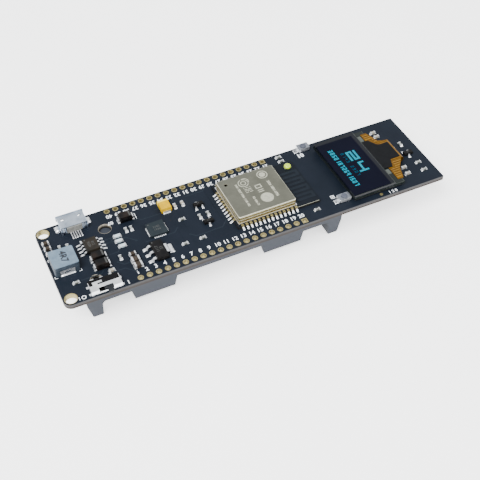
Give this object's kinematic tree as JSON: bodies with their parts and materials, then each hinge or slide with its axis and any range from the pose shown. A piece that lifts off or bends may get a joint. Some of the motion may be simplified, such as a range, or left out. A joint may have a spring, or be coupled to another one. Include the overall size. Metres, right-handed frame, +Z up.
{
  "type": "microcontroller dev board",
  "caption": "Slim microcontroller board with a wireless module, a small display, a USB port, a slide switch, two push buttons and a cell holder underneath.",
  "frame": {"origin": "middle of the board's outline, on the plane that the cell holder's four feet stand on", "axes": "+X from the USB end to the display end, +Y from the slide switch edge to the USB mouth, +Z up from the feet to the component side"},
  "size_m": [0.114, 0.0304, 0.0161],
  "materials": {
    "solder_mask": "dark navy-slate solder mask over glass-epoxy, satin",
    "gold_plating": "gold-flashed copper pads and hole walls",
    "holder_plastic": "dark slate-grey moulded thermoplastic",
    "contact_nickel": "nickel-plated spring strip",
    "connector_steel": "bright plated steel shell",
    "tinned_leads": "tinned, soft sheen",
    "insulator_plastic": "tan connector insulator",
    "ferrite": "blue-grey moulded inductor case",
    "black_epoxy": "black moulding compound, fine grain",
    "ceramic_tan": "tan ceramic",
    "resistor_black": "black resistor glaze",
    "tantalum_yellow": "yellow epoxy case",
    "led_milky": "milky translucent lens",
    "led_green": "yellow-green tinted lens",
    "module_mask": "black solder mask of the wireless module",
    "shield_metal": "warm grey nickel-silver shield can",
    "switch_plastic": "black switch moulding",
    "plunger_plastic": "blue-grey button plunger",
    "spring_metal": "thin spring metal",
    "display_glass": "thin display glass",
    "display_film": "dark circular polariser film",
    "driver_silicon": "bare driver die under black film",
    "flex_film": "orange polyimide flex",
    "foam": "black adhesive foam"
  },
  "bodies": {
    "root": {"battery_contact_negative": "contact_nickel", "battery_contact_positive": "contact_nickel", "battery_holder": "holder_plastic", "boot_button_cover": "connector_steel", "boot_button_dome": "spring_metal", "button_bases": "switch_plastic", "button_terminals": "tinned_leads", "ceramic_capacitor_bodies": "ceramic_tan", "ceramic_capacitor_ends": "tinned_leads", "charger_chip_body": "black_epoxy", "charger_chip_leads": "tinned_leads", "circuit_board": "solder_mask", "corner_hole_plating": "gold_plating", "diode_bodies": "black_epoxy", "diode_leads": "tinned_leads", "display_driver_chip": "driver_silicon", "display_flex_tail": "flex_film", "display_foam_pad": "foam", "display_front_glass": "display_glass", "display_polariser": "display_film", "display_rear_glass": "display_glass", "header_plating_back": "gold_plating", "header_plating_front": "gold_plating", "indicator_led_bodies": "led_milky", "indicator_led_ends": "tinned_leads", "inductor_case": "ferrite", "inductor_clips": "tinned_leads", "module_board": "module_mask", "module_castellations": "gold_plating", "module_crystal": "shield_metal", "module_flash_chip": "black_epoxy", "module_processor": "black_epoxy", "module_shield": "shield_metal", "regulator_body": "black_epoxy", "regulator_leads": "tinned_leads", "reset_button_cover": "connector_steel", "reset_button_dome": "spring_metal", "resistor_bodies": "resistor_black", "resistor_ends": "tinned_leads", "slide_switch_base": "switch_plastic", "slide_switch_pins": "tinned_leads", "slide_switch_shell": "connector_steel", "small_capacitor_bodies": "ceramic_tan", "small_capacitor_ends": "tinned_leads", "status_led_base": "led_milky", "status_led_lens": "led_green", "tantalum_capacitor_body": "tantalum_yellow", "tantalum_capacitor_leads": "tinned_leads", "transistor_bodies": "black_epoxy", "transistor_leads": "tinned_leads", "usb_bridge_chip_body": "black_epoxy", "usb_bridge_chip_leads": "tinned_leads", "usb_contacts": "tinned_leads", "usb_shell": "connector_steel", "usb_tongue": "insulator_plastic"},
    "slide_knob": {"slide_switch_knob": "switch_plastic", "slide_switch_wiper": "spring_metal"},
    "reset_plunger": {"reset_button_plunger": "plunger_plastic"},
    "boot_plunger": {"boot_button_plunger": "plunger_plastic"}
  },
  "joints": [
    {"name": "power_switch_slide", "type": "slide", "parent": "root", "child": "slide_knob", "axis": [1, 0, 0], "range_m": [-0.002, 0]},
    {"name": "reset_button_press", "type": "slide", "parent": "root", "child": "reset_plunger", "axis": [0, 0, -1], "range_m": [0, 0.00025], "stiffness_N_per_m": 400, "deforming": ["reset_button_dome"]},
    {"name": "boot_button_press", "type": "slide", "parent": "root", "child": "boot_plunger", "axis": [0, 0, -1], "range_m": [0, 0.00025], "stiffness_N_per_m": 400, "deforming": ["boot_button_dome"]}
  ]
}
